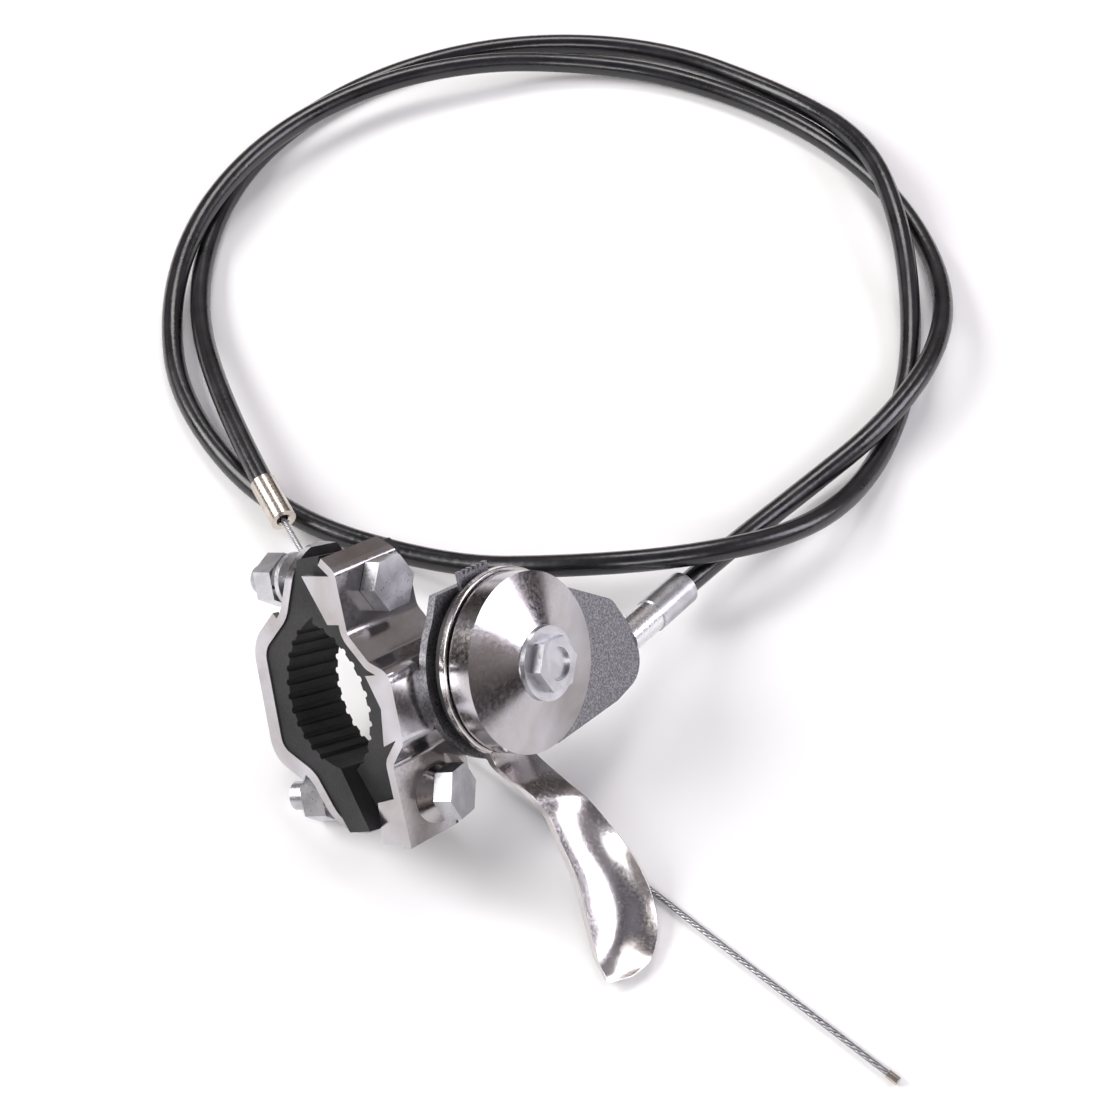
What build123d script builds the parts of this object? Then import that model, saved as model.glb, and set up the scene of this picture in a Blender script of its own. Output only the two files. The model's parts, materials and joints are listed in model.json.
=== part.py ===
"""Thumb shifter with a bar clamp, its cable casing and inner wire, lying at rest on a flat surface.

The clamp's own frame is the tilted plane `clamp`: x runs back along the bar, y runs from the lower bolt
to the upper one, and z points outwards, along the upper bolt and the lever's pivot. Millimetres.
"""
from build123d import *

import os
from math import cos, pi, radians, sin, tan

os.makedirs("parts", exist_ok=True)

# ---- resting place: bore centre above the surface, and the clamp frame's turn about x, y and z ----
BORE_CENTRE = (-22.7, 8.1, 24.95)
REST_TURN = (38.0, 48.9, 16.1)
# The liners lean in the clamp, and the rear half also hangs askew on its loose bolts.
LINER_LEAN = -7.0
REAR_SKEW = -8.2

# ---- bar clamp: outlines are (outwards, up) pairs, square to the bar ----
LINER_WIDTH = 18.0
REAR_LINER_WIDTH = 13.6
BORE_MIDDLE = (-2.3, 1.0)
BORE_HALF_HEIGHT = 15.4
FRONT_SAG = 9.4
REAR_SAG = 11.6
RIB_COUNT = 11
RIB_SPREAD = 52.0
RIB_RADIUS = 0.7
FLANGE_RISE = 2.6
FRONT_FLANGE = (28.0, -30.0)
REAR_FLANGE = (28.2, -27.4)
PARTING = 0.55
STRAP_WIDTH = 14.6
STRAP_THICK = 2.0
STRAP_LENGTH = 60.0
STRAP_RIM = 1.6
STRAP_LINE = [(-4.2, 30.6), (-11.0, 17.4), (-19.6, 11.6), (-19.6, -9.6), (-11.0, -15.4), (-4.2, -28.6)]
STRAP_RADII = [7, 5, 5, 7]
STRAP_FAR_SIDE = [(-26.0, -32.0), (-26.0, 34.0)]
HUMP_LINE = [(-13.5, 17.5), (-21.0, 12.4), (-21.0, -10.4), (-13.5, -15.5)]
HUMP_RADII = [6.4, 6.4]
BRACKET_THICK = 1.9
BRACKET_WIDTH = 20.0
BRACKET_BACK = 8.8
BRACKET_LINE = [
    (7.2, 29.8),
    (9.85, 27.4),
    (9.85, 14.6),
    (14.5, 8.8),
    (19.15, 6.8),
    (19.15, -6.6),
    (14.9, -11.4),
    (15.2, -29.2),
]
BRACKET_RADII = [1.5, 4, 2.5, 2.5, 2.5, 3]
BRACKET_FAR_SIDE = [(24.0, -34.0), (24.0, 34.0)]
REAR_BACKING = [(-5.4, 28.2), *STRAP_LINE[1:5], (-4.8, -27.4)]
FRONT_BACKING = [(10.8, 28.0), (10.2, 18.0), (18.5, 11.0), (18.5, -8.0), (12.5, -16.0), (10.5, -30.0)]
EAR_CUTS = [[(3.6, 32.5), (9.2, 20.6), (9.2, 32.5)], [(1.5, -31.0), (9.2, -20.0), (9.2, -31.0)]]
TAB_THICK = 1.7
TABS = [
    [(1.2, 26.8), (10.4, 26.9), (10.4, 17.0), (5.7, 16.9)],
    [(13.3, 6.7), (19.6, 7.3), (19.6, -5.7), (14.4, -7.9), (15.8, 0)],
    [(9.3, -20.1), (15.3, -18.6), (15.5, -28.0), (8.1, -29.0)],
]
TONGUE_RADIUS = 9.5
TONGUE_HALF = 6.9

# ---- clamp bolts: M6 x 35 ----
BOLT_RADIUS = 3.0
BOLT_LENGTH = 35.0
HEAD_FLATS = 10.0
HEAD_HEIGHT = 4.0
NUT_HEIGHT = 5.0
WASHER_RADIUS = 5.8
WASHER_THICK = 1.2
SPRING_WASHER_RADIUS = 5.1
SPRING_WASHER_THICK = 1.8
SPRING_WASHER_SPLIT = 0.8
HOLE_RADIUS = 3.6
UPPER_BOLT = (0.1, 22.3, 10.9)
LOWER_BOLT = (0.8, -21.6, 16.5)
LOWER_BOLT_TILT = 16.0
UPPER_GRIP = 23.4
LOWER_GRIP = 22.8
HEX_TURN = 28.0
BOSS_RADIUS = 7.6
BOSS_DEPTH = 2.6

# ---- shifter head, stacked outwards along the pivot ----
PIVOT = (16.2, 1.0)
FLAT_TOP = 20.1
PLATE_THICK = 1.8
PLATE_RADIUS = 19.8
INDEX_THICK = 1.1
INDEX_RADIUS = 16.0
INDEX_TAB_REACH = 20.4
INDEX_TAB_SIDE = -2.0
INDEX_TAB_WIDTH = 8.4
INDEX_TEETH = 6
DISC_THICK = 1.3
DISC_RADIUS = 18.2
CLEARANCE = 0.3
PLATE_LUG = [(-17.0, 9.0), (-12.6, 17.7), (-7.0, 17.6), (-4.0, 9.0)]
PLATE_TOP = 17.6
LEVER_THICK = 1.7
LEVER_DISC_RADIUS = 19.1
DRUM_RADIUS = 12.5
DRUM_FLANGE = 14.0
DRUM_HEIGHT = 3.4
DRUM_LIP = 0.6
NIPPLE_RADIUS = 2.2
NIPPLE_PLACE = (-8.6, 5.0)
ARM_TOP = 31.0
WEB_THICK = 1.0
RING_OUTER = 16.7
RING_INNER = 14.6
CAP_LOW = 26.7
CAP_RIM = 31.8
CAP_TOP = 35.4
CAP_RADIUS = 18.3
CAP_WALL = 1.2
CAP_FLAT = 7.6
STUD_RADIUS = 5.0
STUD_HEAD_RADIUS = 6.8
STUD_HEAD_THICK = 1.7
STUD_TOP = 35.0
BUSH_RADIUS = 6.5
FIT = 0.05
SCREW_RADIUS = 3.0
SCREW_DEPTH = 9.0
SCREW_FLANGE_RADIUS = 7.5
SCREW_FLANGE_THICK = 1.2
SCREW_HEX = 2.4
RECESS_RADIUS = 3.4
RECESS_DEPTH = 0.8
CONE_WASHER = [(11.0, 31.0), (11.0, 31.9), (6.4, 34.2), (5.1, 34.2), (5.1, 33.2)]

# ---- lever: below the pivot's level, (back, out) of the left edge, the crease and the rim's top ----
LEVER_STATIONS = [
    (14.5, (5.4, 26.3), (12.0, 26.4), (17.7, 26.3)),
    (17.4, (5.8, 26.9), (12.0, 26.8), (17.8, 26.3)),
    (19.6, (6.1, 29.4), (12.2, 28.4), (18.0, 27.0)),
    (22.8, (6.8, 33.2), (12.6, 32.2), (18.3, 30.6)),
    (25.5, (7.7, 34.5), (13.2, 34.2), (18.7, 33.6)),
    (29.0, (9.3, 35.2), (14.7, 35.5), (19.6, 37.0)),
    (35.0, (9.2, 37.2), (15.6, 37.7), (20.4, 41.2)),
    (42.0, (9.0, 39.6), (16.8, 40.4), (21.0, 45.2)),
    (49.0, (7.3, 42.0), (16.0, 43.2), (20.2, 48.4)),
    (54.0, (6.0, 43.7), (13.6, 45.0), (17.8, 50.6)),
    (57.4, (5.2, 45.2), (10.6, 46.8), (14.4, 51.4)),
    (60.4, (4.6, 47.8), (8.0, 49.9), (11.0, 51.7)),
]

# ---- cable arm and adjuster; distances run along the cable from the drum ----
ARM_FOOT = 24.0
ARM_OUTLINE = [(18.5, 18.6), (44.5, 5.2), (50.0, -4.5), (49.6, -12.8), (40.5, -15.6), (18.5, -17.8)]
ARM_RADII = [5, 5, 3, 6]
CABLE_START = (18.8, -11.6)
CABLE_HEIGHT = 27.9
CABLE_RISE = 11.5
SLEEVE_START = 25.0
ARM_END = 31.2
SLEEVE_END = 41.5
FERRULE_SHOULDER = 44.0
FERRULE_END = 53.9
SPIGOT_RADIUS = 2.4
SLEEVE_RADIUS = 3.5
FERRULE_RADIUS = 3.8

# ---- casing and inner wire ----
CASING_RADIUS = 2.5
CASING_BORE = 1.1
WIRE_RADIUS = 0.6
WIRE_HOLE = 1.3
END_FERRULE_RADIUS = 2.95
END_FERRULE_BORE = 10.0
END_FERRULE_WALL = 2.0
CASING_LEAD = 24.0
BEND_SHARE = 0.45
CASING_ROUTE = [
    (71.5, 73.7, 5.9),
    (92.0, 91.7, 8.4),
    (107.6, 116.2, 8.6),
    (111.4, 144.7, 3.0),
    (101.5, 174.7, 2.6),
    (80.0, 200.2, 2.6),
    (48.0, 218.2, 2.6),
    (20.0, 221.7, 4.2),
    (-6.0, 216.7, 8.4),
    (-33.0, 207.2, 8.6),
    (-57.0, 187.7, 8.6),
    (-72.5, 160.7, 8.2),
    (-78.0, 133.7, 3.6),
    (-72.0, 102.2, 2.6),
    (-47.5, 69.7, 2.6),
    (-8.0, 53.2, 5.0),
    (20.0, 47.2, 13.4),
    (46.5, 48.2, 15.8),
    (71.5, 58.7, 11.2),
    (88.0, 79.7, 3.0),
    (98.6, 104.7, 2.7),
    (102.4, 129.2, 3.4),
    (101.6, 156.2, 8.6),
    (95.5, 185.7, 9.0),
    (76.0, 211.2, 2.7),
    (42.0, 230.2, 2.6),
    (0.0, 231.2, 2.6),
    (-38.0, 214.2, 2.6),
    (-65.5, 182.2, 2.6),
    (-73.0, 140.7, 2.7),
    (-61.5, 97.2, 8.5),
    (-45.3, 65.4, 8.7),
]
WIRE_START = -1.0
WIRE_LEAD = 29.0
WIRE_ROUTE = [(-19.7, 25.2, 7.0), (7.0, 0.5, 1.6), (33.2, -23.3, 0.7), (79.8, -65.0, 1.0)]
TIP_RADIUS = 0.9
TIP_LENGTH = 2.5

clamp = Plane(Location(BORE_CENTRE, REST_TURN))


def placed(position, turn=(0, 0, 0)):
    """Plane at a place in the clamp's frame, turned about its own x, y and z."""
    return Plane(clamp.location * Location(position, turn))


def leaning(skew):
    """The clamp's frame turned about the upper bolt: a lean about the bar and a skew about the bolt."""
    turned = Location((UPPER_BOLT[0], UPPER_BOLT[1], 0), (LINER_LEAN, 0, skew))
    return Plane(clamp.location * turned * Location((-UPPER_BOLT[0], -UPPER_BOLT[1], 0)))


def across(back, frame=clamp):
    """Plane square to the bar, x outwards and y up; extruding goes towards the front."""
    origin = frame.from_local_coords((back, 0, 0))
    return Plane(origin=origin, x_dir=frame.z_dir, z_dir=-frame.x_dir)


def on_pivot(height):
    """Plane square to the pivot, centred on it, x back and y up; extruding goes outwards."""
    return placed((*PIVOT, height))


front_half = leaning(0)
rear_half = leaning(REAR_SKEW)
# through the pivot, x square to it and y outwards along it, for revolved pieces
pivot_section = placed((*PIVOT, 0), (90, 0, 0))
pivot_axis = Axis(on_pivot(0).origin, clamp.z_dir)


def finish(piece, name):
    """Label a piece and write it out."""
    piece.part.label = name
    export_step(piece.part, f"parts/{name}.step")


# =========================== bolts, nuts and washers ===========================
seats = [(placed(UPPER_BOLT), UPPER_GRIP), (placed(LOWER_BOLT, (0, LOWER_BOLT_TILT, 0)), LOWER_GRIP)]
lower_seat = seats[1][0]


def bolt_holes():
    """Cut both bolts' holes through the piece being made."""
    for seat, _ in seats:
        with BuildSketch(seat.offset(-BOLT_LENGTH)) as hole:
            Circle(HOLE_RADIUS)
        extrude(hole.sketch, amount=2 * BOLT_LENGTH, mode=Mode.SUBTRACT)


with BuildPart() as clamp_bolts:
    for seat, _ in seats:
        with BuildSketch(seat):
            RegularPolygon(HEAD_FLATS / 2, 6, major_radius=False)
        extrude(amount=HEAD_HEIGHT)
        with BuildSketch(seat):
            Circle(BOLT_RADIUS)
        extrude(amount=-BOLT_LENGTH)
finish(clamp_bolts, "clamp_bolts")

with BuildPart() as flat_washers:
    for seat, grip in seats:
        with BuildSketch(seat.offset(-grip)):
            Circle(WASHER_RADIUS)
            Circle(BOLT_RADIUS, mode=Mode.SUBTRACT)
        extrude(amount=-WASHER_THICK)
finish(flat_washers, "flat_washers")

with BuildPart() as spring_washers:
    for seat, grip in seats:
        with BuildSketch(seat.offset(-grip - WASHER_THICK)):
            Circle(SPRING_WASHER_RADIUS)
            Circle(BOLT_RADIUS, mode=Mode.SUBTRACT)
            with Locations((-SPRING_WASHER_RADIUS, 0)):
                Rectangle(SPRING_WASHER_RADIUS, SPRING_WASHER_SPLIT, mode=Mode.SUBTRACT)
        extrude(amount=-SPRING_WASHER_THICK)
finish(spring_washers, "spring_washers")

with BuildPart() as clamp_nuts:
    for seat, grip in seats:
        with BuildSketch(seat.offset(-grip - WASHER_THICK - SPRING_WASHER_THICK)):
            RegularPolygon(HEAD_FLATS / 2, 6, major_radius=False, rotation=HEX_TURN)
            Circle(BOLT_RADIUS, mode=Mode.SUBTRACT)
        extrude(amount=-NUT_HEIGHT)
finish(clamp_nuts, "clamp_nuts")

# =========================== front bracket ===========================
with BuildPart() as front_bracket:
    with BuildSketch(across(BRACKET_BACK)):
        with BuildLine():
            FilletPolyline(*BRACKET_LINE, radius=BRACKET_RADII)
        trace(line_width=BRACKET_THICK)
    extrude(amount=BRACKET_WIDTH)
    # folded tabs over the liner's front face
    with BuildSketch(across(BRACKET_BACK - BRACKET_WIDTH + TAB_THICK)):
        for outline in TABS:
            with BuildLine():
                Polyline(*outline, close=True)
            make_face()
    extrude(amount=TAB_THICK)
    # the ears' corners are cut away at the back
    with BuildSketch(clamp):
        for corner in EAR_CUTS:
            with BuildLine():
                Polyline(*corner, close=True)
            make_face()
    extrude(amount=FLAT_TOP - BRACKET_THICK, mode=Mode.SUBTRACT)
    # tongue that carries the head
    with BuildSketch(on_pivot(FLAT_TOP - BRACKET_THICK)):
        Circle(TONGUE_RADIUS)
        with Locations(((BRACKET_BACK - PIVOT[0]) / 2, -PIVOT[1])):
            Rectangle(PIVOT[0] - BRACKET_BACK + 1, 2 * TONGUE_HALF)
        Circle(STUD_RADIUS, mode=Mode.SUBTRACT)
    extrude(amount=BRACKET_THICK)
    # raised seat under the tilted lower bolt
    with BuildSketch(lower_seat):
        Circle(BOSS_RADIUS - BOSS_DEPTH)
    extrude(amount=-BOSS_DEPTH, taper=-45)
    with BuildSketch(lower_seat):
        Circle(BOSS_RADIUS)
    extrude(amount=HEAD_HEIGHT, mode=Mode.SUBTRACT)
    bolt_holes()
finish(front_bracket, "front_bracket")

# =========================== rubber liners ===========================
bore_top = (BORE_MIDDLE[0], BORE_MIDDLE[1] + BORE_HALF_HEIGHT)
bore_bottom = (BORE_MIDDLE[0], BORE_MIDDLE[1] - BORE_HALF_HEIGHT)
flange_edge = BORE_MIDDLE[0] + 2 * FLANGE_RISE


def liner_outline(side, sag, flange, backing):
    """Half of the bore's rubber, side 1 in front and -1 behind, out to the polyline that backs it."""
    parting = side * PARTING
    with BuildLine() as outline:
        ThreePointArc(
            (bore_bottom[0] + parting, bore_bottom[1]),
            (BORE_MIDDLE[0] + side * sag, BORE_MIDDLE[1]),
            (bore_top[0] + parting, bore_top[1]),
        )
        Polyline(
            (bore_top[0] + parting, bore_top[1]),
            (flange_edge + parting, flange[0]),
            *backing,
            (flange_edge + parting, flange[1]),
            (bore_bottom[0] + parting, bore_bottom[1]),
        )
    return outline.line


def bore_ribs(side, sag):
    """Middles of the grooves that leave ribs along one half of the bore."""
    radius = (BORE_HALF_HEIGHT**2 + sag**2) / (2 * sag)
    centre = BORE_MIDDLE[0] - side * (radius - sag)
    turns = [radians(RIB_SPREAD * (2 * step / (RIB_COUNT - 1) - 1)) for step in range(RIB_COUNT)]
    return [(centre + side * radius * cos(turn), BORE_MIDDLE[1] + radius * sin(turn)) for turn in turns]


with BuildPart() as rubber_liner_front:
    with BuildSketch(across(LINER_WIDTH / 2, front_half)):
        make_face(liner_outline(1, FRONT_SAG, FRONT_FLANGE, FRONT_BACKING))
        with Locations(*bore_ribs(1, FRONT_SAG)):
            Circle(RIB_RADIUS, mode=Mode.SUBTRACT)
    extrude(amount=LINER_WIDTH)
    # it is moulded to the inside of the bracket
    with BuildSketch(across(BRACKET_BACK + 1)):
        with BuildLine():
            FilletPolyline(*BRACKET_LINE, radius=BRACKET_RADII)
        trace(line_width=BRACKET_THICK + 2 * FIT)
        with BuildLine():
            Polyline(*BRACKET_LINE, *BRACKET_FAR_SIDE, close=True)
        make_face()
    extrude(amount=BRACKET_WIDTH + 2, mode=Mode.SUBTRACT)
    with BuildSketch(lower_seat) as boss_room:
        Circle(BOSS_RADIUS - BOSS_DEPTH + CLEARANCE)
    extrude(boss_room.sketch, amount=-BOSS_DEPTH - CLEARANCE, taper=-45, mode=Mode.SUBTRACT)
    bolt_holes()
finish(rubber_liner_front, "rubber_liner_front")

with BuildPart() as rubber_liner_rear:
    with BuildSketch(across(REAR_LINER_WIDTH / 2, rear_half)):
        make_face(liner_outline(-1, REAR_SAG, REAR_FLANGE, REAR_BACKING))
        with Locations(*bore_ribs(-1, REAR_SAG)):
            Circle(RIB_RADIUS, mode=Mode.SUBTRACT)
    extrude(amount=REAR_LINER_WIDTH)
    with BuildSketch(across(STRAP_WIDTH / 2, rear_half)):
        with BuildLine():
            FilletPolyline(*STRAP_LINE, radius=STRAP_RADII)
        trace(line_width=STRAP_THICK + 2 * FIT)
        with BuildLine():
            Polyline(*STRAP_LINE, *STRAP_FAR_SIDE, close=True)
        make_face()
    extrude(amount=STRAP_WIDTH, mode=Mode.SUBTRACT)
    bolt_holes()
finish(rubber_liner_rear, "rubber_liner_rear")

# =========================== rear strap ===========================
with BuildPart() as rear_strap:
    with BuildSketch(across(STRAP_WIDTH / 2, rear_half)):
        with BuildLine():
            FilletPolyline(*STRAP_LINE, radius=STRAP_RADII)
        trace(line_width=STRAP_THICK)
    extrude(amount=STRAP_WIDTH)
    with BuildSketch(rear_half.offset(-STRAP_LENGTH)):
        with Locations((0, BORE_MIDDLE[1])):
            SlotOverall(STRAP_LENGTH, STRAP_WIDTH, rotation=90)
    extrude(amount=2 * STRAP_LENGTH, mode=Mode.INTERSECT)
    # raised edges round the hump
    for back in (STRAP_WIDTH / 2, STRAP_RIM - STRAP_WIDTH / 2):
        with BuildSketch(across(back, rear_half)):
            with BuildLine():
                FilletPolyline(*HUMP_LINE, radius=HUMP_RADII)
            trace(line_width=STRAP_THICK)
        extrude(amount=STRAP_RIM)
    # the washers bed a little into the sloping ears
    for seat, grip in seats:
        with BuildSketch(seat.offset(-grip)) as washer_room:
            Circle(WASHER_RADIUS + FIT)
        extrude(washer_room.sketch, amount=-NUT_HEIGHT, mode=Mode.SUBTRACT)
    bolt_holes()
finish(rear_strap, "rear_strap")

# =========================== head: root pieces on the pivot ===========================
plate_base = FLAT_TOP
index_base = plate_base + PLATE_THICK
disc_base = index_base + INDEX_THICK
bush_base = disc_base + DISC_THICK
lever_base = bush_base + CLEARANCE
drum_base = lever_base + LEVER_THICK
drum_top = drum_base + DRUM_HEIGHT
web_base = ARM_TOP - WEB_THICK

with BuildPart() as pivot_stud:
    with BuildSketch(on_pivot(FLAT_TOP - BRACKET_THICK - STUD_HEAD_THICK)):
        Circle(STUD_HEAD_RADIUS)
    extrude(amount=STUD_HEAD_THICK)
    with BuildSketch(on_pivot(FLAT_TOP - BRACKET_THICK)):
        Circle(STUD_RADIUS)
    extrude(amount=STUD_TOP - FLAT_TOP + BRACKET_THICK)
    with BuildSketch(on_pivot(STUD_TOP)):
        Circle(SCREW_RADIUS)
    extrude(amount=-SCREW_DEPTH - CLEARANCE, mode=Mode.SUBTRACT)
finish(pivot_stud, "pivot_stud")

with BuildPart() as base_plate:
    with BuildSketch(on_pivot(plate_base)):
        Circle(PLATE_RADIUS)
        with BuildLine():
            Polyline(*PLATE_LUG, close=True)
        make_face()
        with Locations((0, PLATE_TOP + PLATE_RADIUS / 2)):
            Rectangle(2 * PLATE_RADIUS, PLATE_RADIUS, mode=Mode.SUBTRACT)
        Circle(STUD_RADIUS, mode=Mode.SUBTRACT)
    extrude(amount=PLATE_THICK)
finish(base_plate, "base_plate")

with BuildPart() as index_plate:
    with BuildSketch(on_pivot(index_base)):
        Circle(INDEX_RADIUS)
        with Locations((INDEX_TAB_SIDE, INDEX_TAB_REACH / 2)):
            Rectangle(INDEX_TAB_WIDTH, INDEX_TAB_REACH)
        tooth = INDEX_TAB_WIDTH / INDEX_TEETH
        with Locations((INDEX_TAB_SIDE, INDEX_TAB_REACH)):
            with GridLocations(tooth, 1, INDEX_TEETH - 1, 1):
                Rectangle(tooth / 2, tooth, mode=Mode.SUBTRACT)
        Circle(STUD_RADIUS, mode=Mode.SUBTRACT)
    extrude(amount=INDEX_THICK)
finish(index_plate, "index_plate")

with BuildPart() as friction_disc:
    with BuildSketch(on_pivot(disc_base)):
        Circle(DISC_RADIUS)
        Circle(STUD_RADIUS, mode=Mode.SUBTRACT)
    extrude(amount=DISC_THICK)
finish(friction_disc, "friction_disc")

with BuildPart() as pivot_bush:
    with BuildSketch(on_pivot(bush_base)):
        Circle(BUSH_RADIUS)
        Circle(STUD_RADIUS, mode=Mode.SUBTRACT)
    extrude(amount=web_base - bush_base)
finish(pivot_bush, "pivot_bush")

with BuildPart() as cone_washer:
    with BuildSketch(pivot_section):
        with BuildLine():
            Polyline(*CONE_WASHER, close=True)
        make_face()
    revolve(axis=pivot_axis)
finish(cone_washer, "cone_washer")

with BuildPart() as dome_cap:
    with BuildSketch(pivot_section):
        with BuildLine():
            Polyline(
                (STUD_RADIUS + FIT, CAP_TOP - CAP_WALL),
                (CAP_FLAT, CAP_TOP - CAP_WALL),
                (CAP_RADIUS - CAP_WALL, CAP_RIM - CAP_WALL),
                (CAP_RADIUS - CAP_WALL, CAP_LOW),
                (CAP_RADIUS, CAP_LOW),
                (CAP_RADIUS, CAP_RIM),
                (CAP_FLAT, CAP_TOP),
                (STUD_RADIUS + FIT, CAP_TOP),
                close=True,
            )
        make_face()
    revolve(axis=pivot_axis)
    with BuildSketch(clamp.offset(CAP_LOW)):
        with BuildLine():
            FilletPolyline(*ARM_OUTLINE, radius=ARM_RADII + [2, 2], close=True)
        make_face()
        offset(amount=CLEARANCE)
        with Locations(PIVOT):
            Circle(RING_OUTER, mode=Mode.SUBTRACT)
    extrude(amount=ARM_TOP + CLEARANCE - CAP_LOW, mode=Mode.SUBTRACT)
finish(dome_cap, "dome_cap")

with BuildPart() as pivot_screw:
    with BuildSketch(on_pivot(CAP_TOP)):
        Circle(SCREW_FLANGE_RADIUS)
    extrude(amount=SCREW_FLANGE_THICK)
    with BuildSketch(on_pivot(CAP_TOP + SCREW_FLANGE_THICK)):
        RegularPolygon(HEAD_FLATS / 2, 6, major_radius=False)
    extrude(amount=SCREW_HEX)
    with BuildSketch(on_pivot(CAP_TOP + SCREW_FLANGE_THICK + SCREW_HEX)):
        Circle(RECESS_RADIUS)
    extrude(amount=-RECESS_DEPTH, mode=Mode.SUBTRACT)
    with BuildSketch(on_pivot(CAP_TOP)):
        Circle(SCREW_RADIUS)
    extrude(amount=-SCREW_DEPTH)
finish(pivot_screw, "pivot_screw")

# =========================== cable arm and adjuster ===========================
cable_start = clamp.from_local_coords((*CABLE_START, CABLE_HEIGHT))
cable_point = clamp.from_local_coords(
    (CABLE_START[0] + cos(radians(CABLE_RISE)), CABLE_START[1] + sin(radians(CABLE_RISE)), CABLE_HEIGHT)
)
cable_way = (cable_point - cable_start).normalized()


def along_cable(distance):
    """Plane square to the cable, at a distance from the drum; extruding goes away from the drum."""
    return Plane(origin=cable_start + cable_way * distance, x_dir=clamp.z_dir, z_dir=cable_way)


def tube(start, end, outer, inner):
    """A round sleeve on the cable between two distances."""
    with BuildSketch(along_cable(start)) as ring:
        Circle(outer)
        Circle(inner, mode=Mode.SUBTRACT)
    extrude(ring.sketch, amount=end - start)


with BuildPart() as cable_arm:
    with BuildSketch(clamp.offset(CAP_LOW)):
        with BuildLine():
            FilletPolyline(*ARM_OUTLINE, radius=ARM_RADII + [2, 2], close=True)
        make_face()
        with Locations(PIVOT):
            Circle(RING_OUTER)
    extrude(amount=ARM_TOP - CAP_LOW)
    # deep outer end, round which the lever's disc turns
    with BuildSketch(clamp.offset(ARM_FOOT)):
        with BuildLine():
            FilletPolyline(*ARM_OUTLINE, radius=ARM_RADII + [2, 2], close=True)
        make_face()
        with Locations(PIVOT):
            Circle(PLATE_RADIUS + CLEARANCE, mode=Mode.SUBTRACT)
    extrude(amount=CAP_LOW - ARM_FOOT)
    # room for the drum under the web, and the stud's hole
    with BuildSketch(on_pivot(CAP_LOW)):
        Circle(RING_INNER)
    extrude(amount=web_base - CAP_LOW, mode=Mode.SUBTRACT)
    with BuildSketch(on_pivot(CAP_LOW)):
        Circle(STUD_RADIUS + FIT)
    extrude(amount=ARM_TOP - CAP_LOW, mode=Mode.SUBTRACT)
    # the ring's top edge slopes to clear the cap
    with BuildSketch(pivot_section):
        with BuildLine():
            Polyline(
                (RING_OUTER - WEB_THICK, ARM_TOP + CLEARANCE),
                (CAP_RADIUS, ARM_TOP + CLEARANCE),
                (CAP_RADIUS, web_base),
                (RING_OUTER, web_base),
                close=True,
            )
        make_face()
    revolve(axis=pivot_axis, mode=Mode.SUBTRACT)
    # the cable's passage and the socket of the sleeve
    with BuildSketch(along_cable(0)):
        Circle(WIRE_HOLE)
    extrude(amount=ARM_END * 1.5, mode=Mode.SUBTRACT)
    with BuildSketch(along_cable(SLEEVE_START)):
        Circle(SPIGOT_RADIUS)
    extrude(amount=ARM_END, mode=Mode.SUBTRACT)
    with BuildSketch(along_cable(ARM_END)):
        Circle(SLEEVE_RADIUS + WEB_THICK)
    extrude(amount=ARM_END, mode=Mode.SUBTRACT)
finish(cable_arm, "cable_arm")

with BuildPart() as cable_stop_sleeve:
    tube(SLEEVE_START, ARM_END, SPIGOT_RADIUS, WIRE_HOLE)
    tube(ARM_END, SLEEVE_END, SLEEVE_RADIUS, WIRE_HOLE)
finish(cable_stop_sleeve, "cable_stop_sleeve")

with BuildPart() as crimped_ferrule:
    tube(SLEEVE_END, FERRULE_SHOULDER, FERRULE_RADIUS, WIRE_HOLE)
    tube(FERRULE_SHOULDER, FERRULE_END, FERRULE_RADIUS, CASING_RADIUS + FIT)
finish(crimped_ferrule, "crimped_ferrule")

# =========================== lever, drum and wound wire ===========================
with BuildPart() as cable_drum:
    with BuildSketch(pivot_section):
        with BuildLine():
            Polyline(
                (BUSH_RADIUS + FIT, drum_base),
                (DRUM_FLANGE, drum_base),
                (DRUM_FLANGE, drum_base + DRUM_LIP),
                (DRUM_RADIUS, drum_base + 2 * DRUM_LIP),
                (DRUM_RADIUS, drum_top - 2 * DRUM_LIP),
                (DRUM_FLANGE, drum_top - DRUM_LIP),
                (DRUM_FLANGE, drum_top),
                (BUSH_RADIUS + FIT, drum_top),
                close=True,
            )
        make_face()
    revolve(axis=pivot_axis)
    with BuildSketch(on_pivot(drum_base + DRUM_LIP)):
        with Locations(NIPPLE_PLACE):
            Circle(NIPPLE_RADIUS)
    extrude(amount=DRUM_HEIGHT, mode=Mode.SUBTRACT)
finish(cable_drum, "cable_drum")

with BuildPart() as cable_nipple:
    with BuildSketch(on_pivot(drum_base + DRUM_LIP)):
        with Locations(NIPPLE_PLACE):
            Circle(NIPPLE_RADIUS)
    extrude(amount=DRUM_HEIGHT - DRUM_LIP)
finish(cable_nipple, "cable_nipple")


def lever_station(reach, left, crease, rim):
    """Section across the lever at a distance below the pivot's level: (back, out) of its edges."""
    corners = [Vector(left), Vector(crease), Vector(rim)]
    runs = [(corners[1] - corners[0]).normalized(), (corners[2] - corners[1]).normalized()]
    under = [Vector(run.Y, -run.X) for run in runs]
    middle = (under[0] + under[1]).normalized()
    backs = [
        corners[0] + under[0] * LEVER_THICK,
        corners[1] + middle * LEVER_THICK,
        corners[2] + under[1] * LEVER_THICK,
    ]
    origin = clamp.from_local_coords((0, -reach, 0))
    with BuildSketch(Plane(origin=origin, x_dir=clamp.x_dir, z_dir=-clamp.y_dir)) as section:
        with BuildLine():
            Polyline(*corners, *backs[::-1], close=True)
        make_face()
    return section.sketch.face()


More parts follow.
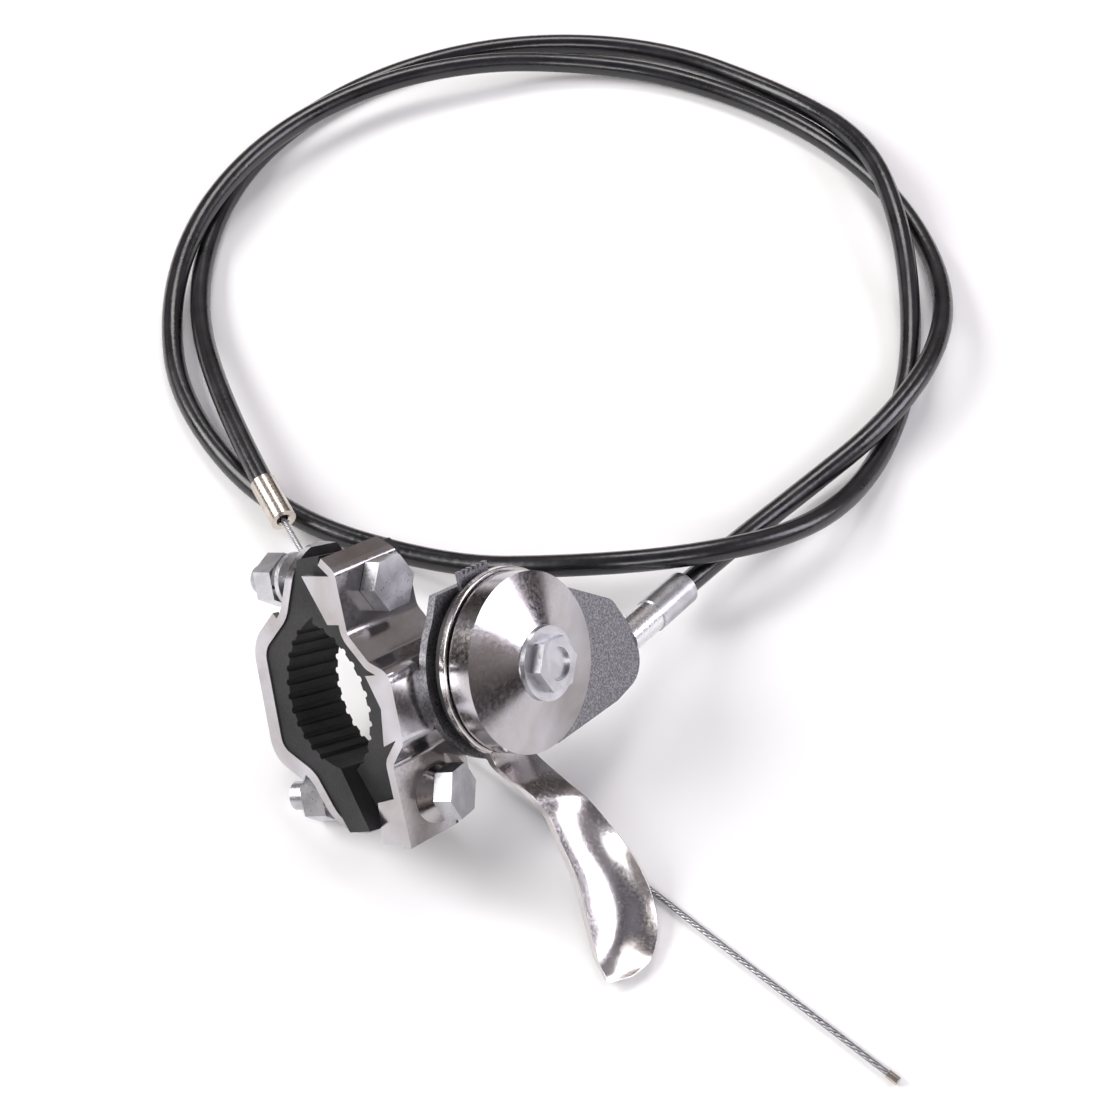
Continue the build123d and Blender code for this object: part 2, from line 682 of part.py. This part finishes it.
with BuildPart() as thumb_lever:
    with BuildSketch(on_pivot(lever_base)):
        Circle(LEVER_DISC_RADIUS)
    extrude(amount=LEVER_THICK)
    loft([lever_station(*station) for station in LEVER_STATIONS], ruled=True)
    with BuildSketch(on_pivot(lever_base)):
        Circle(BUSH_RADIUS + FIT)
    extrude(amount=LEVER_THICK, mode=Mode.SUBTRACT)
finish(thumb_lever, "thumb_lever")

# =========================== casing, end ferrule and inner wire ===========================
def bend_radii(points):
    """Largest tangent arcs that the runs between the points leave room for."""
    runs = [after - before for before, after in zip(points, points[1:])]
    radii = []
    for before, after in zip(runs, runs[1:]):
        turn = radians(before.get_angle(after))
        radii.append(BEND_SHARE * min(before.length, after.length) / tan(turn / 2))
    return radii


def square_to(start, towards):
    """Plane at the start of a route, square to its first run."""
    return Plane(origin=start, z_dir=towards - start)


casing_points = [along_cable(FERRULE_SHOULDER).origin, along_cable(FERRULE_SHOULDER + CASING_LEAD).origin]
casing_points += [Vector(point) for point in CASING_ROUTE]
casing_radii = bend_radii(casing_points)

with BuildPart() as casing:
    with BuildLine() as casing_path:
        FilletPolyline(*casing_points, radius=casing_radii)
    with BuildSketch(square_to(casing_points[0], casing_points[1])):
        Circle(CASING_RADIUS)
        Circle(CASING_BORE, mode=Mode.SUBTRACT)
    sweep()
finish(casing, "casing")

casing_end = casing_points[-1]
end_way = (casing_end - casing_points[-2]).normalized()


def beyond_casing(distance):
    """Plane square to the casing's free end, at a distance beyond it."""
    return Plane(origin=casing_end + end_way * distance, z_dir=end_way)


with BuildPart() as end_ferrule:
    with BuildSketch(beyond_casing(-END_FERRULE_BORE)):
        Circle(END_FERRULE_RADIUS)
        Circle(CASING_RADIUS + FIT, mode=Mode.SUBTRACT)
    extrude(amount=END_FERRULE_BORE)
    with BuildSketch(beyond_casing(0)):
        Circle(END_FERRULE_RADIUS)
        Circle(WIRE_HOLE, mode=Mode.SUBTRACT)
    extrude(amount=END_FERRULE_WALL)
    chamfer(end_ferrule.edges().filter_by(GeomType.CIRCLE).sort_by(Axis(casing_end, end_way))[-1], 0.4)
finish(end_ferrule, "end_ferrule")

wire_points = [beyond_casing(WIRE_START).origin, beyond_casing(WIRE_LEAD).origin]
wire_points += [Vector(point) for point in WIRE_ROUTE]

with BuildPart() as inner_wire:
    with BuildLine() as wire_path:
        FilletPolyline(*wire_points, radius=bend_radii(wire_points))
    with BuildSketch(square_to(wire_points[0], wire_points[1])):
        Circle(WIRE_RADIUS)
    sweep()
finish(inner_wire, "inner_wire")

with BuildPart() as wire_tip:
    with BuildSketch(Plane(origin=wire_points[-1], z_dir=wire_points[-1] - wire_points[-2])):
        Circle(TIP_RADIUS)
    extrude(amount=TIP_LENGTH)
finish(wire_tip, "wire_tip")

casing_length = casing_path.wires()[0].length
casing_section = pi * (CASING_RADIUS**2 - CASING_BORE**2)
print("casing length", round(casing_length, 1), "radii", [round(radius) for radius in casing_radii])
print("casing volume", round(casing.part.volume), "section x length", round(casing_section * casing_length))
print("wire length", round(wire_path.wires()[0].length, 1), "radii", [round(r) for r in bend_radii(wire_points)])
print("pivot", on_pivot(lever_base).origin, "axis", clamp.z_dir)
print("casing end", casing_end, "way", end_way)
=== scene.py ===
"""Thumb shifter on a pale table: materials, smooth lever, cable casing and inner wire."""
import json
from math import cos, pi, radians, sin

import bpy
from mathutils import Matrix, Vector


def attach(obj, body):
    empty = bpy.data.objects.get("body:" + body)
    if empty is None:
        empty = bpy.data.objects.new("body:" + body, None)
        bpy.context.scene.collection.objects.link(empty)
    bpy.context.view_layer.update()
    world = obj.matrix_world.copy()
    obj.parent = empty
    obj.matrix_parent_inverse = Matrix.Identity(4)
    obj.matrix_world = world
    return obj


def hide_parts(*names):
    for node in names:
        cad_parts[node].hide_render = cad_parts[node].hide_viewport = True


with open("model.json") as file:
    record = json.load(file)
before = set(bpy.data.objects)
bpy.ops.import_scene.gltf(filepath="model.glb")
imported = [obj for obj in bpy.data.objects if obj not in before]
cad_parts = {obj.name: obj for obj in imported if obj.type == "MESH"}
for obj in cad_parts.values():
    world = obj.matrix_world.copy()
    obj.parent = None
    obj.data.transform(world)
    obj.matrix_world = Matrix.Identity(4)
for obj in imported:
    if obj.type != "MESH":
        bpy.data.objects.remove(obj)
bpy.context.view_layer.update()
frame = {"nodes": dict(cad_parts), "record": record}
MM = 0.001

# The clamp's own frame: along the bar, up the clamp, and out along the pivot.
CLAMP = Vector((-22.7, 8.1, 24.95)) * MM
ALONG = Vector((0.631592, 0.664271, -0.399794))
OUT = Vector((0.753563, -0.404721, 0.518019))
UP = OUT.cross(ALONG)


def in_clamp(along, up, out):
    return CLAMP + (ALONG * along + UP * up + OUT * out) * MM


# ------------------------------------------------------------------ materials
def new_material(name):
    material = bpy.data.materials.new(name)
    material.use_nodes = True
    nodes, links = material.node_tree.nodes, material.node_tree.links
    shader = next(node for node in nodes if node.type == "BSDF_PRINCIPLED")
    coordinates = nodes.new("ShaderNodeTexCoord")
    return material, nodes, links, shader, coordinates


def noise(nodes, links, source, scale, detail=4.0, stretch=(1, 1, 1), distortion=0.0):
    mapping = nodes.new("ShaderNodeMapping")
    mapping.inputs["Scale"].default_value = stretch
    texture = nodes.new("ShaderNodeTexNoise")
    texture.inputs["Scale"].default_value = scale
    texture.inputs["Detail"].default_value = detail
    texture.inputs["Distortion"].default_value = distortion
    links.new(source, mapping.inputs["Vector"])
    links.new(mapping.outputs["Vector"], texture.inputs["Vector"])
    return texture.outputs["Fac"]


def ramp(nodes, links, source, stops):
    node = nodes.new("ShaderNodeValToRGB")
    node.color_ramp.elements[0].position = stops[0][0]
    node.color_ramp.elements[0].color = (*stops[0][1], 1)
    node.color_ramp.elements[1].position = stops[-1][0]
    node.color_ramp.elements[1].color = (*stops[-1][1], 1)
    for place, colour in stops[1:-1]:
        node.color_ramp.elements.new(place).color = (*colour, 1)
    links.new(source, node.inputs["Fac"])
    return node.outputs["Color"]


def spread(nodes, links, source, low, high):
    node = nodes.new("ShaderNodeMapRange")
    node.inputs["From Min"].default_value = 0.3
    node.inputs["From Max"].default_value = 0.7
    node.inputs["To Min"].default_value = low
    node.inputs["To Max"].default_value = high
    links.new(source, node.inputs["Value"])
    return node.outputs["Result"]


def bump(nodes, links, shader, heights):
    """Chain of bumps: each height has its own strength and depth in metres."""
    normal = None
    for source, strength, depth in heights:
        node = nodes.new("ShaderNodeBump")
        node.inputs["Strength"].default_value = strength
        node.inputs["Distance"].default_value = depth
        links.new(source, node.inputs["Height"])
        if normal:
            links.new(normal, node.inputs["Normal"])
        normal = node.outputs["Normal"]
    links.new(normal, shader.inputs["Normal"])


def metal(name, dark, light, rough, grain=900.0, scratch=None, depth=0.00002, patch=55.0):
    material, nodes, links, shader, coordinates = new_material(name)
    place = coordinates.outputs["Object"]
    cloud = noise(nodes, links, place, patch, 5.0, distortion=0.6)
    fine = noise(nodes, links, place, grain, 3.0)
    links.new(ramp(nodes, links, cloud, [(0.34, dark), (0.66, light)]), shader.inputs["Base Color"])
    links.new(spread(nodes, links, fine, *rough), shader.inputs["Roughness"])
    shader.inputs["Metallic"].default_value = 1.0
    heights = [(fine, 0.25, depth)]
    if scratch:
        lines = noise(nodes, links, place, scratch[0], 2.0, stretch=scratch[1])
        heights.append((lines, 0.3, depth))
    bump(nodes, links, shader, heights)
    return material


def plastic(name, dark, light, rough, grain, depth=0.00003):
    material, nodes, links, shader, coordinates = new_material(name)
    place = coordinates.outputs["Object"]
    cloud = noise(nodes, links, place, 90.0, 6.0)
    fine = noise(nodes, links, place, grain, 4.0)
    links.new(ramp(nodes, links, cloud, [(0.35, dark), (0.7, light)]), shader.inputs["Base Color"])
    links.new(spread(nodes, links, fine, *rough), shader.inputs["Roughness"])
    bump(nodes, links, shader, [(fine, 0.4, depth)])
    return material


chrome = metal("chrome", (0.36, 0.335, 0.325), (0.56, 0.55, 0.585), (0.13, 0.24),
               grain=1400.0, scratch=(260.0, (1, 14, 3)), depth=0.00001)
lever_chrome = metal("lever_chrome", (0.50, 0.465, 0.445), (0.66, 0.64, 0.645), (0.16, 0.28),
                     grain=1600.0, scratch=(220.0, (9, 1, 1)), depth=0.00001)
zinc = metal("zinc", (0.44, 0.44, 0.46), (0.66, 0.66, 0.69), (0.26, 0.44), grain=2200.0, patch=160.0)
dark_steel = metal("dark_steel", (0.10, 0.10, 0.12), (0.24, 0.23, 0.24), (0.32, 0.50), patch=200.0)
aluminium = metal("aluminium", (0.74, 0.75, 0.77), (0.88, 0.88, 0.90), (0.20, 0.34),
                  grain=1800.0, scratch=(700.0, (1, 1, 1)))
nickel = metal("nickel", (0.52, 0.47, 0.42), (0.72, 0.66, 0.59), (0.18, 0.30), grain=1500.0, patch=140.0)
rubber = plastic("rubber", (0.008, 0.008, 0.009), (0.024, 0.023, 0.025), (0.55, 0.75),
                 grain=2400.0, depth=0.00008)
black_plastic = plastic("black_plastic", (0.012, 0.012, 0.014), (0.028, 0.027, 0.030), (0.34, 0.52),
                        grain=1900.0)


def arm_material():
    """Plated steel with a coarse light and dark grain."""
    material, nodes, links, shader, coordinates = new_material("arm_steel")
    place = coordinates.outputs["Object"]
    grains = noise(nodes, links, place, 2300.0, 8.0)
    cloud = noise(nodes, links, place, 120.0, 3.0)
    colour = ramp(nodes, links, grains, [(0.34, (0.13, 0.13, 0.14)), (0.5, (0.22, 0.215, 0.23)),
                                         (0.68, (0.36, 0.355, 0.38))])
    links.new(colour, shader.inputs["Base Color"])
    links.new(spread(nodes, links, cloud, 0.36, 0.5), shader.inputs["Roughness"])
    shader.inputs["Metallic"].default_value = 1.0
    bump(nodes, links, shader, [(grains, 0.35, 0.00002)])
    return material


def casing_material():
    """Thin glossy cover, faintly dimpled over the wound wire under it."""
    material, nodes, links, shader, coordinates = new_material("casing_black")
    place = coordinates.outputs["Object"]
    dimples = nodes.new("ShaderNodeTexVoronoi")
    dimples.inputs["Scale"].default_value = 620.0
    links.new(place, dimples.inputs["Vector"])
    cloud = noise(nodes, links, place, 130.0, 5.0)
    colour = ramp(nodes, links, cloud, [(0.35, (0.002, 0.002, 0.003)), (0.7, (0.007, 0.006, 0.009))])
    links.new(colour, shader.inputs["Base Color"])
    links.new(spread(nodes, links, cloud, 0.24, 0.38), shader.inputs["Roughness"])
    shader.inputs["Coat Weight"].default_value = 0.35
    shader.inputs["Coat Roughness"].default_value = 0.15
    bump(nodes, links, shader, [(dimples.outputs["Distance"], 0.35, 0.00012),
                                (noise(nodes, links, place, 1800.0, 3.0), 0.3, 0.00003)])
    return material


def wire_material(turns, strands):
    """Twisted strands, laid at a slant round the wire, with painted shade darkening the grooves between
    them.
    """
    material, nodes, links, shader, coordinates = new_material("wire_steel")
    mapping = nodes.new("ShaderNodeMapping")
    mapping.inputs["Scale"].default_value = (turns, strands, 1)
    links.new(coordinates.outputs["UV"], mapping.inputs["Vector"])
    bands = nodes.new("ShaderNodeTexWave")
    bands.bands_direction = "DIAGONAL"
    bands.inputs["Scale"].default_value = 1.0
    bands.inputs["Distortion"].default_value = 0.0
    links.new(mapping.outputs["Vector"], bands.inputs["Vector"])
    # Painted shade: the base colour darkens along the low bands, which the bump below makes into the grooves
    # between strands.
    colour = ramp(nodes, links, bands.outputs["Fac"], [(0.1, (0.22, 0.22, 0.23)), (0.7, (0.50, 0.50, 0.53))])
    links.new(colour, shader.inputs["Base Color"])
    fine = noise(nodes, links, coordinates.outputs["Object"], 1500.0, 3.0)
    links.new(spread(nodes, links, fine, 0.25, 0.4), shader.inputs["Roughness"])
    shader.inputs["Metallic"].default_value = 1.0
    bump(nodes, links, shader, [(bands.outputs["Fac"], 0.8, 0.0001)])
    return material


arm_steel = arm_material()
casing_black = casing_material()
wire_steel = wire_material(150.0, 4.0)

FINISHES = {
    "zinc": zinc, "dark_steel": dark_steel, "chrome": chrome, "rubber": rubber, "arm_steel": arm_steel,
    "black_plastic": black_plastic, "aluminium": aluminium, "casing_black": casing_black,
    "nickel": nickel, "wire_steel": wire_steel,
}
slots = {entry["node"]: entry["material_slot"] for entry in frame["record"]["subparts"]}
for name, piece in frame["nodes"].items():
    piece.data.materials.clear()
    piece.data.materials.append(FINISHES[slots[name]])


# ------------------------------------------------------------------ thumb lever
# Each station: distance below the pivot's level, then (along, out) of left edge, crease and rim.
STATIONS = [
    (14.5, (5.4, 26.3), (12.0, 26.4), (17.7, 26.3)),
    (17.4, (5.8, 26.9), (12.0, 26.8), (17.8, 26.3)),
    (19.6, (6.1, 29.4), (12.2, 28.4), (18.0, 27.0)),
    (22.8, (6.8, 33.2), (12.6, 32.2), (18.3, 30.6)),
    (25.5, (7.7, 34.5), (13.2, 34.2), (18.7, 33.6)),
    (29.0, (9.3, 35.2), (14.7, 35.5), (19.6, 37.0)),
    (35.0, (9.2, 37.2), (15.6, 37.7), (20.4, 41.2)),
    (42.0, (9.0, 39.6), (16.8, 40.4), (21.0, 45.2)),
    (49.0, (7.3, 42.0), (16.0, 43.2), (20.2, 48.4)),
    (54.0, (6.0, 43.7), (13.6, 45.0), (17.8, 50.6)),
    (57.0, (4.9, 45.0), (10.8, 46.6), (15.2, 51.3)),
    (59.2, (4.2, 46.6), (8.6, 48.6), (12.2, 51.6)),
    (60.4, (3.4, 47.6), (5.6, 49.2), (7.6, 50.6)),
]
THICKNESS = 1.7
PIVOT = (16.2, 1.0)
PIVOT_BASE = Vector((5.88716, 9.53351, 31.9728)) * MM
DISC_HOLE = 6.6
DISC_RADIUS = 19.1
ROWS = 6
BEND_STEPS = 8
SHARP_EDGE = 22


def eased(before, start, end, after, share):
    """Point on the smooth curve through start and end, shaped by their neighbours."""
    square, cube = share * share, share ** 3
    return 0.5 * (2 * start + (end - before) * share + (2 * before - 5 * start + 4 * end - after) * square
                  + (3 * start - before - 3 * end + after) * cube)


def smooth_stations():
    rows = [Vector((reach, *left, *crease, *rim)) for reach, left, crease, rim in STATIONS]
    smooth = []
    for index in range(len(rows) - 1):
        before, after = rows[max(index - 1, 0)], rows[min(index + 2, len(rows) - 1)]
        smooth += [eased(before, rows[index], rows[index + 1], after, step / ROWS) for step in range(ROWS)]
    return smooth + [rows[-1]]


def bent(corners):
    """Soft bend through three corners, in place of two flat runs."""
    handle = 2 * corners[1] - (corners[0] + corners[2]) / 2
    shares = [step / BEND_STEPS for step in range(BEND_STEPS + 1)]
    return [corners[0] * (1 - share) ** 2 + handle * 2 * share * (1 - share) + corners[2] * share ** 2
            for share in shares]


def lever_mesh():
    """One sheet with rounded edges: the front corners, and the same corners a thickness behind."""
    points, faces = [], []
    stations = smooth_stations()
    for station in stations:
        corners = [Vector((station[1], station[2])), Vector((station[3], station[4])),
                   Vector((station[5], station[6]))]
        runs = [(corners[1] - corners[0]).normalized(), (corners[2] - corners[1]).normalized()]
        under = [Vector((run.y, -run.x)) for run in runs]
        middle = (under[0] + under[1]).normalized()
        backs = [corners[0] + under[0] * THICKNESS, corners[1] + middle * THICKNESS,
                 corners[2] + under[1] * THICKNESS]
        ring = bent(corners) + bent(backs)[::-1]
        points += [in_clamp(along, -station[0], out) for along, out in ring]
    ring_size = 2 * (BEND_STEPS + 1)
    for row in range(len(stations) - 1):
        for step in range(ring_size):
            a, b = row * ring_size + step, row * ring_size + (step + 1) % ring_size
            faces.append((a, b, b + ring_size, a + ring_size))
    faces.append(tuple(range(ring_size))[::-1])
    faces.append(tuple(range(len(points) - ring_size, len(points))))
    mesh = bpy.data.meshes.new("lever_sheet")
    mesh.from_pydata(points, [], faces)
    mesh.update()
    return mesh


def ring_mesh(name, inner, outer, low, high, centre, steps=96):
    """Flat ring about the pivot, between two heights along it."""
    points, faces = [], []
    for radius, height in ((inner, low), (outer, low), (outer, high), (inner, high)):
        for step in range(steps):
            angle = 2 * pi * step / steps
            points.append(in_clamp(centre[0] + radius * cos(angle), centre[1] + radius * sin(angle), height))
    for corner in range(4):
        for step in range(steps):
            after = (step + 1) % steps
            a, b = corner * steps, (corner + 1) % 4 * steps
            faces.append((a + step, a + after, b + after, b + step))
    mesh = bpy.data.meshes.new(name)
    mesh.from_pydata(points, [], faces)
    mesh.update()
    return mesh


def add_piece(name, mesh, material, bevel):
    piece = bpy.data.objects.new(name, mesh)
    bpy.context.scene.collection.objects.link(piece)
    mesh.materials.append(material)
    for face in mesh.polygons:
        face.use_smooth = True
    rounding = piece.modifiers.new("rounding", "BEVEL")
    rounding.width = bevel * MM
    rounding.segments = 3
    rounding.limit_method = "ANGLE"
    rounding.angle_limit = radians(SHARP_EDGE)
    piece.modifiers.new("normals", "WEIGHTED_NORMAL")
    return piece


lever_low = (PIVOT_BASE - CLAMP).dot(OUT) / MM
blade = add_piece("lever_blade", lever_mesh(), lever_chrome, 0.45)
disc_ring = ring_mesh("lever_ring", DISC_HOLE, DISC_RADIUS, lever_low, lever_low + THICKNESS, PIVOT)
disc = add_piece("lever_disc", disc_ring, lever_chrome, 0.3)
for piece in (blade, disc):
    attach(piece, "lever")
    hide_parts("thumb_lever")


# ------------------------------------------------------------------ casing and inner wire
CASING = [
    (37.95, 36.16, 12.51), (51.93, 54.79, 6.73), (71.5, 73.7, 5.9), (92, 91.7, 8.4), (107.6, 116.2, 8.6),
    (111.4, 144.7, 3.0), (101.5, 174.7, 2.6), (80, 200.2, 2.6), (48, 218.2, 2.6), (20, 221.7, 4.2),
    (-6, 216.7, 8.4), (-33, 207.2, 8.6), (-57, 187.7, 8.6), (-72.5, 160.7, 8.2), (-78, 133.7, 3.6),
    (-72, 102.2, 2.6), (-47.5, 69.7, 2.6), (-8, 53.2, 5.0), (20, 47.2, 13.4), (46.5, 48.2, 15.8),
    (71.5, 58.7, 11.2), (88, 79.7, 3.0), (98.6, 104.7, 2.7), (102.4, 129.2, 3.4), (101.6, 156.2, 8.6),
    (95.5, 185.7, 9.0), (76, 211.2, 2.7), (42, 230.2, 2.6), (0, 231.2, 2.6), (-38, 214.2, 2.6),
    (-65.5, 182.2, 2.6), (-73, 140.7, 2.7), (-61.5, 97.2, 8.5), (-45.3, 65.4, 8.7),
]
WIRE = [
    (-45.8, 66.3, 8.7), (-32.1, 39.6, 8.9), (-19.7, 25.2, 7.0), (7.0, 0.5, 1.6), (33.2, -23.3, 0.7),
    (79.8, -65.0, 1.0),
]


def cord_curve(name, points, radius, material):
    curve = bpy.data.curves.new(name, "CURVE")
    curve.dimensions = "3D"
    curve.resolution_u = 16
    curve.bevel_depth = radius * MM
    curve.bevel_resolution = 6
    curve.use_fill_caps = True
    spline = curve.splines.new("NURBS")
    spline.points.add(len(points) - 1)
    for point, place in zip(spline.points, points):
        point.co = (*(value * MM for value in place), 1)
    spline.order_u = 3
    spline.use_endpoint_u = True
    curve.materials.append(material)
    piece = bpy.data.objects.new(name, curve)
    bpy.context.scene.collection.objects.link(piece)
    return piece


casing = cord_curve("casing_cord", CASING, 2.5, casing_black)
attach(casing, "clamp_and_head")
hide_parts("casing")
wire = cord_curve("inner_wire_cord", WIRE, 0.6, wire_steel)
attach(wire, "wire")
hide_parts("inner_wire")


# ------------------------------------------------------------------ floor, light and camera
def floor():
    mesh = bpy.data.meshes.new("floor")
    mesh.from_pydata([(-3, -3, 0), (3, -3, 0), (3, 3, 0), (-3, 3, 0)], [], [(0, 1, 2, 3)])
    piece = bpy.data.objects.new("floor", mesh)
    bpy.context.scene.collection.objects.link(piece)
    material = bpy.data.materials.new("floor_white")
    material.use_nodes = True
    shader = next(node for node in material.node_tree.nodes if node.type == "BSDF_PRINCIPLED")
    shader.inputs["Base Color"].default_value = (0.9, 0.9, 0.9, 1)
    shader.inputs["Roughness"].default_value = 0.9
    mesh.materials.append(material)


def softbox(name, place, target, size, power, colour):
    light = bpy.data.lights.new(name, "AREA")
    light.shape = "RECTANGLE"
    light.size, light.size_y = size
    light.energy = power
    light.color = colour
    lamp = bpy.data.objects.new(name, light)
    lamp.location = place
    lamp.rotation_euler = (Vector(target) - Vector(place)).to_track_quat("-Z", "Y").to_euler()
    bpy.context.scene.collection.objects.link(lamp)


floor()
softbox("key", (-0.80, 0.05, 0.62), (0, 0.03, 0.02), (0.7, 0.5), 9.5, (1.0, 0.99, 0.98))
softbox("top", (0.05, 0.75, 1.0), (0, 0.08, 0.02), (0.5, 0.4), 4.5, (1.0, 0.97, 0.95))
softbox("front", (0.1, -0.9, 0.7), (0, 0.02, 0.02), (0.8, 0.3), 5.0, (1.0, 1.0, 1.0))
softbox("right", (0.8, 0.1, 0.45), (0, 0.03, 0.02), (0.35, 0.5), 3.6, (0.93, 0.90, 1.0))

world = bpy.data.worlds.new("studio")
bpy.context.scene.world = world
world.use_nodes = True
nodes, links = world.node_tree.nodes, world.node_tree.links
background = next(node for node in nodes if node.type == "BACKGROUND")
direction = nodes.new("ShaderNodeTexCoord")
height = nodes.new("ShaderNodeSeparateXYZ")
links.new(direction.outputs["Generated"], height.inputs["Vector"])
shades = ramp(nodes, links, height.outputs["Z"], [
    (0.0, (0.10, 0.09, 0.09)), (0.14, (0.03, 0.026, 0.026)), (0.30, (0.16, 0.135, 0.13)),
    (0.46, (0.48, 0.44, 0.43)), (0.58, (0.20, 0.17, 0.165)), (0.74, (0.34, 0.32, 0.35)),
    (0.88, (0.10, 0.09, 0.10)), (1.0, (0.26, 0.25, 0.30))])
links.new(shades, background.inputs["Color"])
background.inputs["Strength"].default_value = 1.0

camera = bpy.data.objects.new("camera", bpy.data.cameras.new("camera"))
camera.data.sensor_width = 36.0
camera.data.lens = 74.98
camera.data.clip_start = 0.01
camera.location = (0.0160, -0.2537, 0.4139)
camera.rotation_euler = (radians(37.2), 0, 0)
bpy.context.scene.collection.objects.link(camera)
bpy.context.scene.camera = camera
bpy.context.scene.view_settings.view_transform = "Standard"
